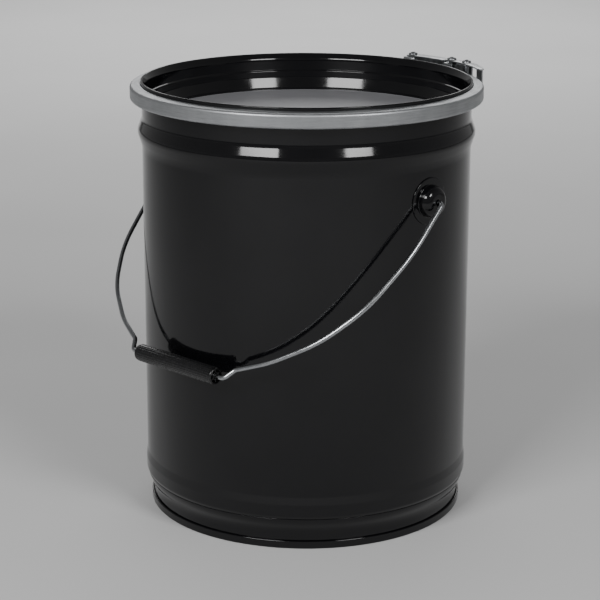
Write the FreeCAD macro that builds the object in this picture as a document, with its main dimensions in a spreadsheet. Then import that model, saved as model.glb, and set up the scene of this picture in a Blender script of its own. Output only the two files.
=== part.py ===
"""Open-head steel pail with a lever-lock closing band, a lug cover and a swinging wire bail.

Frame: millimetres, +Z up, origin on the floor under the centre of the pail. The two bail
ears lie on the X axis, the bail hangs towards -Y and the closing lever sits near +Y.
"""
import FreeCAD
import Part
import math
import os

import Sketcher

Vector = FreeCAD.Vector
Z_AXIS = Vector(0, 0, 1)

# ---------------------------------------------------------------- driving dimensions
SIZES = {
    # rolled sheet steel of the pail and its bottom end
    "sheet": 0.6,
    "body_radius": 143.5,
    "body_height": 374.5,
    "neck_in": 5.45,
    "neck_low": 16.0,
    "neck_high": 26.0,
    "neck_bend": 15.0,
    "foot_bead": 1.1,
    "foot_bead_low": 31.0,
    "foot_bead_high": 41.0,
    "foot_bead_bend": 6.0,
    "top_bead": 4.2,
    "top_bead_drop": 36.5,
    "top_bead_bend": 8.0,
    "top_bead_above": 11.0,
    "top_bead_below": 13.0,
    "curl_radius": 4.0,
    # double seam round the bottom
    "seam_gap": 0.05,
    "seam_height": 7.0,
    "seam_bend": 0.9,
    "hook_drop": 1.0,
    "base_recess": 9.0,
    "base_step": 1.5,
    "base_step_in": 8.0,
    "base_bend": 2.0,
    # cover, its heights counted from the pail's mouth
    "cover_sheet": 0.7,
    "cover_gap": 2.0,
    "cover_depth": 26.85,
    "ledge_depth": 7.5,
    "ledge_width": 2.2,
    "ridge_rise": 6.5,
    "ridge_width": 3.2,
    "plug_bend": 5.0,
    "ledge_bend": 1.0,
    "channel_bend": 0.8,
    "skirt_bend": 2.5,
    "skirt_gap": 0.5,
    "skirt_drop": 7.0,
    "gasket_thick": 0.95,
    "gasket_gap": 0.3,
    "face_gap": 0.1,
    # closing band
    "band_sheet": 1.0,
    "band_gap": 0.4,
    "band_above": 0.7,
    "band_below": 0.6,
    "band_lip_gap": 0.75,
    "band_lip_rise": 1.4,
    "band_foot_drop": 1.0,
    "band_bend": 1.9,
    "band_split_angle": 86.5,
    "band_split": 3.0,
    # lever lock, its radii counted from the band's face
    "strap": 1.2,
    "strap_gap": 0.2,
    "lug_angle": 96.5,
    "lever_angle": 78.0,
    "knee_angle": 70.7,
    "tip_angle": 57.0,
    "rivet_stand": 7.0,
    "fulcrum_stand": 4.7,
    "lug_rise": 4.5,
    "lug_width": 12.0,
    "lug_bend": 1.5,
    "nose_gap": 0.4,
    "link_stand": 2.0,
    "link_bend": 5.2,
    "notch_gap": 0.25,
    "notch_half": 3.2,
    "lever_reach": 12.0,
    "lever_stand": 1.4,
    "tip_reach": 7.5,
    "lever_bend": 4.5,
    "tip_bend": 2.4,
    "rivet_radius": 2.5,
    "rivet_gap": 0.05,
    "rivet_rim": 1.8,
    "rivet_rise": 2.5,
    "collar_rim": 1.1,
    # bail ears
    "pivot_drop": 79.0,
    "ear_sheet": 1.0,
    "ear_radius": 20.0,
    "cup_radius": 13.0,
    "cup_height": 9.5,
    "cup_bend": 6.5,
    # bail wire, in its own plane: across the pail and out from the pivot line
    "bail_lean": 47.95,
    "wire_radius": 2.0,
    "wire_gap": 0.08,
    "wire_inside": 6.5,
    "knob_rim": 1.4,
    "knob_length": 1.8,
    "elbow_gap": 0.4,
    "elbow_bend": 4.1,
    "arm_bulge": 3.4,
    "arm_out": 54.0,
    "arm_bend": 170.0,
    "haunch_in": 7.0,
    "haunch_back": 96.0,
    "haunch_bend": 105.0,
    "shoulder_in": 30.7,
    "shoulder_back": 54.7,
    "slope_in": 66.0,
    "slope_back": 25.3,
    "slope_bend": 100.0,
    "kink_along": 6.0,
    "kink_back": 10.3,
    "kink_bend": 5.0,
    "seat_spare": 8.75,
    "grip_radius": 7.5,
    "grip_length": 96.5,
    "grip_bend": 2.5,
    "grip_gap": 3.82,
}

# ---------------------------------------------------------------- sizes that follow from them
# sheet sizes are to the middle of the sheet
WALL = "(body_radius - sheet / 2)"
NECK = f"({WALL} - neck_in)"
SEAM_LAYER = "(sheet + seam_gap)"
HOOK_BEND = f"({SEAM_LAYER} * 0.98)"
HOOK_END = "(seam_height - sheet - hook_drop)"
CURL_BEND = "(curl_radius - sheet / 2)"
CURL_MIDDLE = f"({WALL} + {CURL_BEND})"
CURL_OUT = "(body_radius - sheet + 2 * curl_radius)"
TOP_BEAD = "(body_height - top_bead_drop)"
COVER_WALL = "(body_radius - sheet - cover_gap - cover_sheet / 2)"
PLUG_WALL = f"({COVER_WALL} - ledge_width)"
RIDGE_OUT = f"({COVER_WALL} + ridge_width)"
CHANNEL = "(body_height + gasket_gap + gasket_thick + face_gap + cover_sheet / 2)"
SKIRT = f"({CURL_OUT} + skirt_gap + cover_sheet / 2)"
GASKET_HALF = f"({SKIRT} - skirt_bend - {CURL_MIDDLE})"
BAND_WEB = f"({SKIRT} + cover_sheet / 2 + band_gap + band_sheet / 2)"
BAND_OUT = f"({BAND_WEB} + band_sheet / 2)"
BAND_TOP = f"({CHANNEL} + band_above)"
BAND_BOTTOM = "(body_height - 2 * curl_radius - band_below)"
LOCK_MIDDLE = f"(({BAND_TOP} + {BAND_BOTTOM}) / 2)"
LUG_HALF = f"(({BAND_TOP} - {BAND_BOTTOM}) / 2 + lug_rise)"
LINK_HALF = f"({LUG_HALF} + strap + strap_gap)"
LEVER_HALF = f"({LINK_HALF} + strap + strap_gap)"
RIVET_CIRCLE = f"({BAND_OUT} + rivet_stand)"
FULCRUM_CIRCLE = f"({BAND_OUT} + fulcrum_stand)"
PIVOT_HEIGHT = "(body_height - pivot_drop)"
CUP_FACE = "(body_radius + cup_height)"
WIRE_END = f"({CUP_FACE} - wire_inside)"
ELBOW = f"({CUP_FACE} + ear_sheet / 2 + elbow_gap + elbow_bend)"
SEAT_OUT = "((body_radius + grip_radius + grip_gap) / sin(bail_lean * 1 deg))"
SEAT_END = "(grip_length / 2 + seat_spare)"
LINK_OUT = f"({RIVET_CIRCLE} + rivet_radius + rivet_rim + nose_gap + strap)"
NOTCH = f"(({FULCRUM_CIRCLE} + rivet_radius + collar_rim + notch_gap) / cos(notch_half * 1 deg))"
WIRE_HOLE = "(wire_radius + wire_gap)"
RIVET_HOLE = "(rivet_radius + rivet_gap)"

doc = FreeCAD.newDocument("LeverLockPail")
sheet = doc.addObject("Spreadsheet::Sheet", "Sizes")
for row, (alias, value) in enumerate(SIZES.items(), start=1):
    sheet.set(f"A{row}", alias)
    sheet.set(f"B{row}", str(value))
    sheet.setAlias(f"B{row}", alias)
doc.recompute()


def cell(formula):
    """An expression with its bare size names written as cells of the sheet."""
    words = "".join(c if c.isalnum() or c == "_" else " " for c in str(formula)).split()
    text = f" {formula} "
    for word in sorted(set(words) & set(SIZES), key=len, reverse=True):
        parts = []
        rest = text
        while word in rest:
            before, rest = rest.split(word, 1)
            inside = before[-1:].isalnum() or before[-1:] in "_." or rest[:1].isalnum() or rest[:1] == "_"
            parts.append(before + (word if inside else f"Sizes.{word}"))
        text = "".join(parts) + rest
    return text.strip()


def size(formula):
    """The value of an expression over the sheet's cells."""
    return float(doc.Sizes.evalExpression(cell(formula)))


def bind(owner, **formulas):
    """Tie properties of an object to the sheet."""
    for name, formula in formulas.items():
        owner.setExpression(name.replace("__", "."), cell(formula))


# ---------------------------------------------------------------- sketches from corners
def rounded_corner(before, corner, after, radius):
    """Start, middle and end of the arc that rounds a corner."""
    back = (before - corner).normalize()
    ahead = (after - corner).normalize()
    half = back.getAngle(ahead) / 2
    reach = radius / math.tan(half)
    inward = (back + ahead).normalize() * (radius / math.sin(half) - radius)
    return corner + back * reach, corner + inward, corner + ahead * reach


def draw(sketch, corners, closed):
    """Draw corners (x, y, bend radius or 0) as lines and tangent arcs, each tied to the sheet."""
    spots = [Vector(size(x), size(y), 0) for x, y, _ in corners]
    bends = [size(bend) for *_, bend in corners]
    count = len(corners)
    inner = range(count) if closed else range(1, count - 1)
    arcs = {}
    for n in inner:
        if bends[n] > 0:
            arcs[n] = rounded_corner(spots[n - 1], spots[n], spots[(n + 1) % count], bends[n])
    lines = []
    for n in range(count if closed else count - 1):
        following = (n + 1) % count
        start = arcs[n][2] if n in arcs else spots[n]
        end = arcs[following][0] if following in arcs else spots[following]
        lines.append(sketch.addGeometry(Part.LineSegment(start, end)))
    for n in range(count):
        x, y, bend = corners[n]
        coming = lines[n - 1]
        leaving = lines[n] if n < len(lines) else None
        if n in arcs:
            arc = sketch.addGeometry(Part.Arc(*arcs[n]))
            starts = (sketch.getPoint(arc, 1) - arcs[n][0]).Length < 1e-4
            first, last = (1, 2) if starts else (2, 1)
            sketch.addConstraint(Sketcher.Constraint("Tangent", coming, 2, arc, first))
            sketch.addConstraint(Sketcher.Constraint("Tangent", arc, last, leaving, 1))
            held = sketch.addConstraint(Sketcher.Constraint("Radius", arc, bends[n]))
            sketch.setExpression(f"Constraints[{held}]", cell(bend))
            point = sketch.addGeometry(Part.Point(spots[n]), True)
            end = 1
            sketch.addConstraint(Sketcher.Constraint("PointOnObject", point, 1, coming))
            sketch.addConstraint(Sketcher.Constraint("PointOnObject", point, 1, leaving))
        elif closed or 0 < n < count - 1:
            sketch.addConstraint(Sketcher.Constraint("Coincident", coming, 2, leaving, 1))
            point, end = leaving, 1
        elif n == 0:
            point, end = leaving, 1
        else:
            point, end = coming, 2
        for kind, place, formula in (("DistanceX", spots[n].x, x), ("DistanceY", spots[n].y, y)):
            held = sketch.addConstraint(Sketcher.Constraint(kind, -1, 1, point, end, place))
            sketch.setExpression(f"Constraints[{held}]", cell(formula))


def polar(radius, angle):
    """The two coordinates, as formulas, of a point at a radius and an angle in degrees."""
    return f"({radius}) * cos(({angle}) * 1 deg)", f"({radius}) * sin(({angle}) * 1 deg)"


def concentric(radius, first, last, first_bend, last_bend, slack=2.0):
    """Corners of an arc round the pail's axis, with a short tangent run before each end's own bend."""
    half = f"(abs(({last}) - ({first})) / 2 - {slack})"
    return [
        (*polar(f"({radius}) / cos({slack} * 1 deg)", first), first_bend),
        (*polar(f"({radius}) / cos({half} * 1 deg)", f"(({first}) + ({last})) / 2"), radius),
        (*polar(f"({radius}) / cos({slack} * 1 deg)", last), last_bend),
    ]


UPRIGHT = FreeCAD.Rotation(Vector(1, 0, 0), 90)


def add_body(label):
    """An empty PartDesign body under its own name."""
    body = doc.addObject("PartDesign::Body", label)
    body.Label = label
    return body


def add_sketch(body, plane, corners, closed=True, name="Outline"):
    """A sketch on one of a body's own origin planes."""
    sketch = body.newObject("Sketcher::SketchObject", f"{body.Name}{name}")
    origin = [o for o in body.Origin.OriginFeatures if o.Role == plane][0]
    sketch.AttachmentSupport = [(origin, "")]
    sketch.MapMode = "FlatFace"
    draw(sketch, corners, closed)
    return sketch


def revolve_sheet(label, corners, thickness, span="360"):
    """Sheet of one thickness, bent along an open (radius, height) path and spun round Z."""
    path = doc.addObject("Sketcher::SketchObject", f"{label}_path")
    path.Placement.Rotation = UPRIGHT
    draw(path, corners, closed=False)
    section = doc.addObject("Part::Offset2D", f"{label}_section")
    section.Source = path
    section.Mode = "Pipe"
    section.Join = "Arc"
    section.Fill = True
    bind(section, Value=f"{thickness} / 2")
    ring = doc.addObject("Part::Revolution", label)
    ring.Label = label
    ring.Source = section
    ring.Axis = Z_AXIS
    ring.Solid = True
    bind(ring, Angle=span)
    return ring


def revolve_outline(label, outlines):
    """Closed (radius, height) outlines spun round Z as one PartDesign body."""
    body = add_body(label)
    for n, corners in enumerate(outlines):
        turned = body.newObject("PartDesign::Revolution", f"{label}Turn{n}")
        turned.Profile = add_sketch(body, "XZ_Plane", corners, name=f"Outline{n}")
        axis = [o for o in body.Origin.OriginFeatures if o.Role == "Z_Axis"][0]
        turned.ReferenceAxis = (axis, [""])
        turned.Angle = 360
    return body


def pad(body, plane, corners, length, offset="0", name="Pad"):
    """A closed outline padded to both sides of its plane, or up from an offset height."""
    sketch = add_sketch(body, plane, corners, name=f"{name}Outline")
    bind(sketch, AttachmentOffset__Base__z=offset)
    block = body.newObject("PartDesign::Pad", f"{body.Name}{name}")
    block.Profile = sketch
    bind(block, Length=length)
    return block


def hole_down(body, spots, radius, depth):
    """Round holes along Z, right through a body that is centred on its own XY plane."""
    for n, (x, y) in enumerate(spots):
        sketch = body.newObject("Sketcher::SketchObject", f"{body.Name}Hole{n}")
        origin = [o for o in body.Origin.OriginFeatures if o.Role == "XY_Plane"][0]
        sketch.AttachmentSupport = [(origin, "")]
        sketch.MapMode = "FlatFace"
        centre = Vector(size(x), size(y), 0)
        ring = sketch.addGeometry(Part.Circle(centre, Z_AXIS, size(radius)))
        held = sketch.addConstraint(Sketcher.Constraint("Radius", ring, size(radius)))
        sketch.setExpression(f"Constraints[{held}]", cell(radius))
        for kind, place, formula in (("DistanceX", centre.x, x), ("DistanceY", centre.y, y)):
            held = sketch.addConstraint(Sketcher.Constraint(kind, -1, 1, ring, 3, place))
            sketch.setExpression(f"Constraints[{held}]", cell(formula))
        pocket = body.newObject("PartDesign::Pocket", f"{body.Name}Bore{n}")
        pocket.Profile = sketch
        pocket.Midplane = True
        bind(pocket, Length=depth)


def turn_about_z(owner, angle, height):
    """Stand an object at a height, turned about the pail's axis."""
    bind(owner, Placement__Base__z=height)
    bind(owner, Placement__Rotation__Angle=angle)
    owner.Placement = FreeCAD.Placement(Vector(0, 0, size(height)), FreeCAD.Rotation(Z_AXIS, size(angle)))


# ---------------------------------------------------------------- pail
def make_body_shell():
    """Rolled wall: body hook, necked foot, two beads and the false-wire curl round the mouth."""
    curl_out = f"{WALL} + 2 * {CURL_BEND}"
    curl_low = "body_height - 2 * curl_radius + sheet / 2"
    curl_bend = f"{CURL_BEND} * 0.99"
    return revolve_sheet(
        "body_shell",
        [
            (f"{NECK} + 2 * {SEAM_LAYER}", HOOK_END, 0),
            (f"{NECK} + 2 * {SEAM_LAYER}", f"sheet / 2 + {SEAM_LAYER}", HOOK_BEND),
            (NECK, f"sheet / 2 + {SEAM_LAYER}", HOOK_BEND),
            (NECK, "neck_low", "neck_bend"),
            (WALL, "neck_high", "neck_bend"),
            (WALL, "foot_bead_low - 2", "foot_bead_bend / 3"),
            (f"{WALL} + foot_bead", "foot_bead_low", "foot_bead_bend / 1.5"),
            (f"{WALL} + foot_bead", "foot_bead_high", "foot_bead_bend"),
            (WALL, "foot_bead_high + 7", "foot_bead_bend"),
            (WALL, f"{TOP_BEAD} - top_bead_below", "2.5 * top_bead_bend"),
            (f"{WALL} + top_bead", TOP_BEAD, "top_bead_bend"),
            (WALL, f"{TOP_BEAD} + top_bead_above", "top_bead_bend"),
            (WALL, "body_height - sheet / 2", curl_bend),
            (curl_out, "body_height - sheet / 2", curl_bend),
            (curl_out, curl_low, curl_bend),
            (f"{WALL} + 2", curl_low, 0),
        ],
        "sheet",
    )


def make_bottom_end():
    """Pressed disc whose rim wraps the foot of the wall in a double seam."""
    chuck = f"{NECK} - {SEAM_LAYER}"
    outside = f"{NECK} + 3 * {SEAM_LAYER}"
    hook = f"{NECK} + {SEAM_LAYER}"
    return revolve_sheet(
        "bottom_end",
        [
            (0, "base_recess", 0),
            (f"{chuck} - base_step_in - 1", "base_recess", "base_bend"),
            (f"{chuck} - base_step_in + 1", "base_recess + base_step", "base_bend"),
            (chuck, "base_recess + base_step", "base_bend"),
            (chuck, "sheet / 2", "seam_bend"),
            (outside, "sheet / 2", "seam_bend"),
            (outside, "seam_height - sheet / 2", HOOK_BEND),
            (hook, "seam_height - sheet / 2", HOOK_BEND),
            (hook, f"2 * {SEAM_LAYER} + sheet", 0),
        ],
        "sheet",
    )


def ring_section(middle, half_width, low, high):
    """Corners of an upright rectangle round a radius."""
    return [
        (f"{middle} - {half_width}", low, 0),
        (f"{middle} + {half_width}", low, 0),
        (f"{middle} + {half_width}", high, 0),
        (f"{middle} - {half_width}", high, 0),
    ]


def make_seam_compound():
    """Bead of sealing compound left in the fold above the body hook."""
    middle = f"{NECK} + 2 * {SEAM_LAYER}"
    low = f"{HOOK_END} + sheet / 2 + seam_gap"
    high = "seam_height - 1.35 * sheet"
    section = ring_section(middle, "(sheet / 2 - 0.4 * seam_gap)", low, high)
    return revolve_outline("seam_compound", [section])


def make_ear(label, angle):
    """Round bail ear: a cup with the wire's hole in its face, on a flange that hugs the wall."""
    cup = revolve_sheet(
        f"{label}_cup",
        [
            ("cup_radius + ear_sheet / 2", "body_radius - 6", 0),
            ("cup_radius + ear_sheet / 2", CUP_FACE, "cup_bend"),
            (f"{WIRE_HOLE} + ear_sheet / 2", CUP_FACE, 0),
        ],
        "ear_sheet",
    )
    cup.Placement.Rotation = FreeCAD.Rotation(Vector(0, 1, 0), 90)
    bind(cup, Placement__Base__z=PIVOT_HEIGHT)

    def cylinder(name, radius, height, along_x=False):
        rod = doc.addObject("Part::Cylinder", f"{label}_{name}")
        bind(rod, Radius=radius, Height=height)
        if along_x:
            rod.Placement.Rotation = FreeCAD.Rotation(Vector(0, 1, 0), 90)
            bind(rod, Placement__Base__z=PIVOT_HEIGHT)
        else:
            bind(rod, Placement__Base__z=f"{PIVOT_HEIGHT} - 1.5 * ear_radius")
        return rod

    def combine(kind, name, base, tool):
        joined = doc.addObject(kind, name)
        joined.Base = base
        joined.Tool = tool
        return joined

    outer = cylinder("outer", "body_radius + ear_sheet", "3 * ear_radius")
    disc = cylinder("disc", "ear_radius", "body_radius + 2 * ear_sheet", along_x=True)
    window = cylinder("window", "cup_radius", "body_radius + 2 * ear_sheet", along_x=True)
    wall = cylinder("wall", "body_radius", "3 * ear_radius")
    plate = combine("Part::Common", f"{label}_plate", outer, disc)
    flange = combine("Part::Cut", f"{label}_flange", plate, window)
    pressed = combine("Part::Fuse", f"{label}_pressed", flange, cup)
    ear = combine("Part::Cut", label, pressed, wall)
    ear.Label = label
    ear.Placement.Rotation = FreeCAD.Rotation(Z_AXIS, angle)
    return ear


# ---------------------------------------------------------------- cover
def make_cover():
    """Plug cover: flat panel, deep wall, raised ridge, gasket channel and skirt."""
    panel = "(body_height - cover_depth)"
    ledge = "(body_height - ledge_depth)"
    ridge = "(body_height + ridge_rise)"
    ridge_bend = "ridge_width * 0.48"
    return revolve_sheet(
        "cover",
        [
            (0, panel, 0),
            (PLUG_WALL, panel, "plug_bend"),
            (PLUG_WALL, f"{ledge} - ledge_bend / 2", "ledge_bend"),
            (COVER_WALL, f"{ledge} + ledge_bend / 2", "ledge_bend"),
            (COVER_WALL, ridge, ridge_bend),
            (RIDGE_OUT, ridge, ridge_bend),
            (RIDGE_OUT, CHANNEL, "channel_bend"),
            (SKIRT, CHANNEL, "skirt_bend"),
            (SKIRT, "body_height - skirt_drop", 0),
        ],
        "cover_sheet",
    )


def make_gasket():
    """Flat sealing ring held in the cover's channel, just above the pail's curl."""
    low = "body_height + gasket_gap"
    section = ring_section(CURL_MIDDLE, GASKET_HALF, low, f"{low} + gasket_thick")
    return revolve_outline("cover_gasket", [section])


# ---------------------------------------------------------------- closing band and its lock
def make_band():
    """Split closing band of C section that clamps the cover's skirt to the curl."""
    band = revolve_sheet(
        "closing_band",
        [
            (f"{RIDGE_OUT} + cover_sheet / 2 + band_lip_gap", f"{BAND_TOP} + band_lip_rise", 0),
            (BAND_WEB, BAND_TOP, "band_bend"),
            (BAND_WEB, BAND_BOTTOM, "band_bend"),
            (CURL_MIDDLE, f"{BAND_BOTTOM} - band_foot_drop", 0),
        ],
        "band_sheet",
        span="360 - band_split",
    )
    turn_about_z(band, "band_split_angle + band_split / 2", "0")
    return band


def make_lug(label, angle, circle):
    """Folded lug on the band: a back plate and two eyes for a rivet."""
    body = add_body(label)
    back = BAND_OUT
    front = f"{circle} + rivet_radius + rivet_rim"
    low, high = f"-{LUG_HALF}", LUG_HALF
    section = [
        (back, low, "lug_bend"),
        (front, low, 0),
        (front, f"{low} + strap", 0),
        (f"{back} + strap", f"{low} + strap", "lug_bend / 4"),
        (f"{back} + strap", f"{high} - strap", "lug_bend / 4"),
        (front, f"{high} - strap", 0),
        (front, high, 0),
        (back, high, "lug_bend"),
    ]
    pad(body, "XZ_Plane", section, "lug_width").Midplane = True
    doc.recompute()
    reach = size(front)
    upright = [
        f"Edge{n}"
        for n, edge in enumerate(body.Shape.Edges, start=1)
        if all(abs(v.X - reach) < 1e-4 for v in edge.Vertexes)
        and abs(edge.Vertexes[0].Z - edge.Vertexes[-1].Z) > 0.5
    ]
    channel = body.Tip
    nose = body.newObject("PartDesign::Fillet", f"{label}Nose")
    nose.Base = (channel, upright)
    bind(nose, Radius="rivet_radius + rivet_rim - 0.1")
    hole_down(body, [(circle, "0")], RIVET_HOLE, f"4 * {LUG_HALF}")
    turn_about_z(body, angle, LOCK_MIDDLE)
    return body


def make_link():
    """Channel-shaped link between the band's lug and the lever, notched round the fulcrum."""
    body = add_body("link")
    half = "(lug_angle - knee_angle) / 2"
    middle = "(lug_angle + knee_angle) / 2"
    end = f"{half} + 2.2"
    fulcrum = f"lever_angle - {middle}"
    inside = f"{BAND_OUT} + link_stand"
    strap = [
        *concentric(LINK_OUT, f"-({end})", end, "link_bend", "link_bend", slack=2.5),
        *concentric(inside, end, f"{fulcrum} + 1.25 * notch_half", "link_bend", 1.5, slack=2.5),
        (*polar(NOTCH, f"{fulcrum} + notch_half"), 2),
        (*polar(NOTCH, f"{fulcrum} - notch_half"), 2),
        (*polar(inside, f"{fulcrum} - 1.125 * notch_half"), 1.5),
        (*polar(inside, f"-({end})"), "link_bend - 0.2"),
    ]
    web_end = f"-({half}) - 0.6"
    web = [
        *concentric(f"{LINK_OUT} - strap", f"{end} - 2", web_end, 0, 0, slack=0.2),
        *concentric(LINK_OUT, web_end, f"{end} - 2", 0, 0, slack=0.2),
    ]
    pad(body, "XY_Plane", web, f"2 * {LINK_HALF}", name="Web").Midplane = True
    pad(body, "XY_Plane", strap, "strap", offset=f"{LINK_HALF} - strap", name="Top")
    pad(body, "XY_Plane", strap, "strap", offset=f"-{LINK_HALF}", name="Bottom")
    eyes = [polar(RIVET_CIRCLE, half), polar(RIVET_CIRCLE, f"-({half})")]
    hole_down(body, eyes, RIVET_HOLE, f"4 * {LINK_HALF}")
    turn_about_z(body, middle, LOCK_MIDDLE)
    return body


def make_lever():
    """Lever: two arms on the fulcrum rivet, joined by a curved handle web beyond the knee."""
    body = add_body("lever")
    knee = "knee_angle - lever_angle"
    tip = "tip_angle - lever_angle"
    nose = "2"
    outside = f"({BAND_OUT} + lever_reach)"
    inside = f"({BAND_OUT} + lever_stand)"
    tip_outside = f"({BAND_OUT} + tip_reach)"
    inner_half = f"({nose} - ({tip})) / 2"
    arm = [
        (*polar(f"{outside} - 1.6", nose), "lever_bend"),
        (*polar(f"{inside} - 1.4", nose), "lever_bend"),
        (*polar(f"{inside} / cos(({inner_half}) * 1 deg)", f"{nose} - {inner_half}"), 120),
        (*polar(f"{inside} + 0.4", tip), "tip_bend"),
        (*polar(tip_outside, tip), "tip_bend"),
        (*polar(outside, f"{knee} - 3.5"), 40),
    ]
    web_start = f"{knee} - 4.6"
    web = [
        (*polar(f"{outside} - 0.6 - strap", web_start), 0),
        (*polar(f"{tip_outside} - 0.4 - strap", f"{tip} + 0.9"), 0),
        (*polar(f"{tip_outside} - 0.4", f"{tip} + 0.9"), 0),
        (*polar(f"{outside} - 0.6", web_start), 0),
    ]
    pad(body, "XY_Plane", web, f"2 * {LEVER_HALF}", name="Web").Midplane = True
    pad(body, "XY_Plane", arm, "strap", offset=f"{LEVER_HALF} - strap", name="Top")
    pad(body, "XY_Plane", arm, "strap", offset=f"-{LEVER_HALF}", name="Bottom")
    eyes = [(FULCRUM_CIRCLE, "0"), polar(RIVET_CIRCLE, knee)]
    hole_down(body, eyes, RIVET_HOLE, f"4 * {LEVER_HALF}")
    turn_about_z(body, "lever_angle", LOCK_MIDDLE)
    return body


def make_rivet(label, angle, circle, grip_half, collar=None):
    """Upright rivet with a domed head at each end, and a collar pair where it spaces two straps."""
    inner = f"{grip_half} + face_gap"
    top = f"{inner} + rivet_rise"
    head = "rivet_radius + rivet_rim"
    half = [("0", top, 0), (head, top, "rivet_rise * 0.9"), (head, inner, 0)]
    if collar:
        low, high = collar
        half += [
            ("rivet_radius", inner, 0),
            ("rivet_radius", high, 0),
            ("rivet_radius + collar_rim", high, 0),
            ("rivet_radius + collar_rim", low, 0),
            ("rivet_radius", low, 0),
        ]
    else:
        half += [("rivet_radius", inner, 0)]
    mirrored = [(x, f"-({y})", bend) for x, y, bend in reversed(half)]
    body = revolve_outline(label, [half + mirrored])
    bind(body, Placement__Base__x=polar(circle, angle)[0])
    bind(body, Placement__Base__y=polar(circle, angle)[1])
    bind(body, Placement__Base__z=LOCK_MIDDLE)
    return body


# ---------------------------------------------------------------- bail
def lean_forward(owner, extra):
    """Turn an object about the pivot line by the bail's lean."""
    angle = f"{extra} - bail_lean"
    bind(owner, Placement__Rotation__Angle=angle)
    owner.Placement.Rotation = FreeCAD.Rotation(Vector(1, 0, 0), size(angle))


def make_bail_wire():
    """Round wire bent from ear to ear, with a straight seat under the grip and knobbed ends."""
    half = [
        (WIRE_END, "0", 0),
        (ELBOW, "0", "elbow_bend"),
        (f"({ELBOW} + arm_bulge)", "arm_out", "arm_bend"),
        (f"({ELBOW} - haunch_in)", f"{SEAT_OUT} - haunch_back", "haunch_bend"),
        (f"({ELBOW} - shoulder_in)", f"{SEAT_OUT} - shoulder_back", "slope_bend"),
        (f"({ELBOW} - slope_in)", f"{SEAT_OUT} - slope_back", "slope_bend"),
        (f"({SEAT_END} + kink_along)", f"{SEAT_OUT} - kink_back", "kink_bend"),
        (SEAT_END, SEAT_OUT, "kink_bend"),
    ]
    mirrored = [(f"-{x}", y, bend) for x, y, bend in reversed(half)]
    body = add_body("bail_wire")
    spine = add_sketch(body, "XY_Plane", half + mirrored, closed=False, name="Spine")
    section = body.newObject("Sketcher::SketchObject", "bail_wireSection")
    origin = [o for o in body.Origin.OriginFeatures if o.Role == "YZ_Plane"][0]
    section.AttachmentSupport = [(origin, "")]
    section.MapMode = "FlatFace"
    bind(section, AttachmentOffset__Base__z=WIRE_END)
    ring = section.addGeometry(Part.Circle(Vector(0, 0, 0), Z_AXIS, size("wire_radius")))
    section.addConstraint(Sketcher.Constraint("Coincident", -1, 1, ring, 3))
    held = section.addConstraint(Sketcher.Constraint("Radius", ring, size("wire_radius")))
    section.setExpression(f"Constraints[{held}]", cell("wire_radius"))
    doc.recompute()
    wire = body.newObject("PartDesign::AdditivePipe", "bail_wireSweep")
    wire.Profile = section
    wire.Spine = (spine, [f"Edge{n + 1}" for n in range(len(spine.Shape.Edges))])
    for side in (1, -1):
        knob = body.newObject("PartDesign::AdditiveCylinder", f"bail_wireKnob{side + 1}")
        bind(knob, Radius="wire_radius + knob_rim", Height="knob_length")
        knob.AttachmentSupport = [(origin, "")]
        knob.MapMode = "FlatFace"
        start = WIRE_END if side > 0 else f"-{WIRE_END} - knob_length"
        bind(knob, AttachmentOffset__Base__z=start)
    lean_forward(body, -90)
    bind(body, Placement__Base__z=PIVOT_HEIGHT)
    return body


def make_grip():
    """Moulded grip that turns on the straight seat of the wire."""
    end = "grip_length / 2"
    outline = [
        (WIRE_HOLE, f"-{end}", 0),
        ("grip_radius", f"-{end}", "grip_bend"),
        ("grip_radius", end, "grip_bend"),
        (WIRE_HOLE, end, 0),
    ]
    body = revolve_outline("bail_grip", [outline])
    body.Placement.Rotation = FreeCAD.Rotation(Vector(0, 1, 0), 90)
    bind(body, Placement__Base__y=f"-{SEAT_OUT} * sin(bail_lean * 1 deg)")
    bind(body, Placement__Base__z=f"{PIVOT_HEIGHT} - {SEAT_OUT} * cos(bail_lean * 1 deg)")
    return body


# ---------------------------------------------------------------- build, check and export
def build():
    """Make every piece of the pail and recompute the document."""
    pieces = [
        make_body_shell(),
        make_bottom_end(),
        make_seam_compound(),
        make_ear("ear_right", 0),
        make_ear("ear_left", 180),
        make_cover(),
        make_gasket(),
        make_band(),
        make_lug("link_lug", "lug_angle", RIVET_CIRCLE),
        make_lug("lever_lug", "lever_angle", FULCRUM_CIRCLE),
        make_link(),
        make_lever(),
        make_rivet("link_lug_rivet", "lug_angle", RIVET_CIRCLE, LINK_HALF),
        make_rivet(
            "fulcrum_rivet",
            "lever_angle",
            FULCRUM_CIRCLE,
            LEVER_HALF,
            collar=(f"{LUG_HALF} + face_gap", f"{LEVER_HALF} - strap - face_gap"),
        ),
        make_rivet("knee_rivet", "knee_angle", RIVET_CIRCLE, LEVER_HALF),
        make_bail_wire(),
        make_grip(),
    ]
    doc.recompute()
    return pieces


def check(pieces):
    """Stop if any object failed, or if a piece is not one sound solid."""
    for made in doc.Objects:
        if {"Invalid", "Error"} & set(made.State):
            raise RuntimeError(f"{made.Name} failed: {made.State}")
    for piece in pieces:
        shape = piece.Shape
        if shape.isNull() or not shape.isValid() or not shape.Solids:
            raise RuntimeError(f"{piece.Label} has no sound solid")


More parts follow.
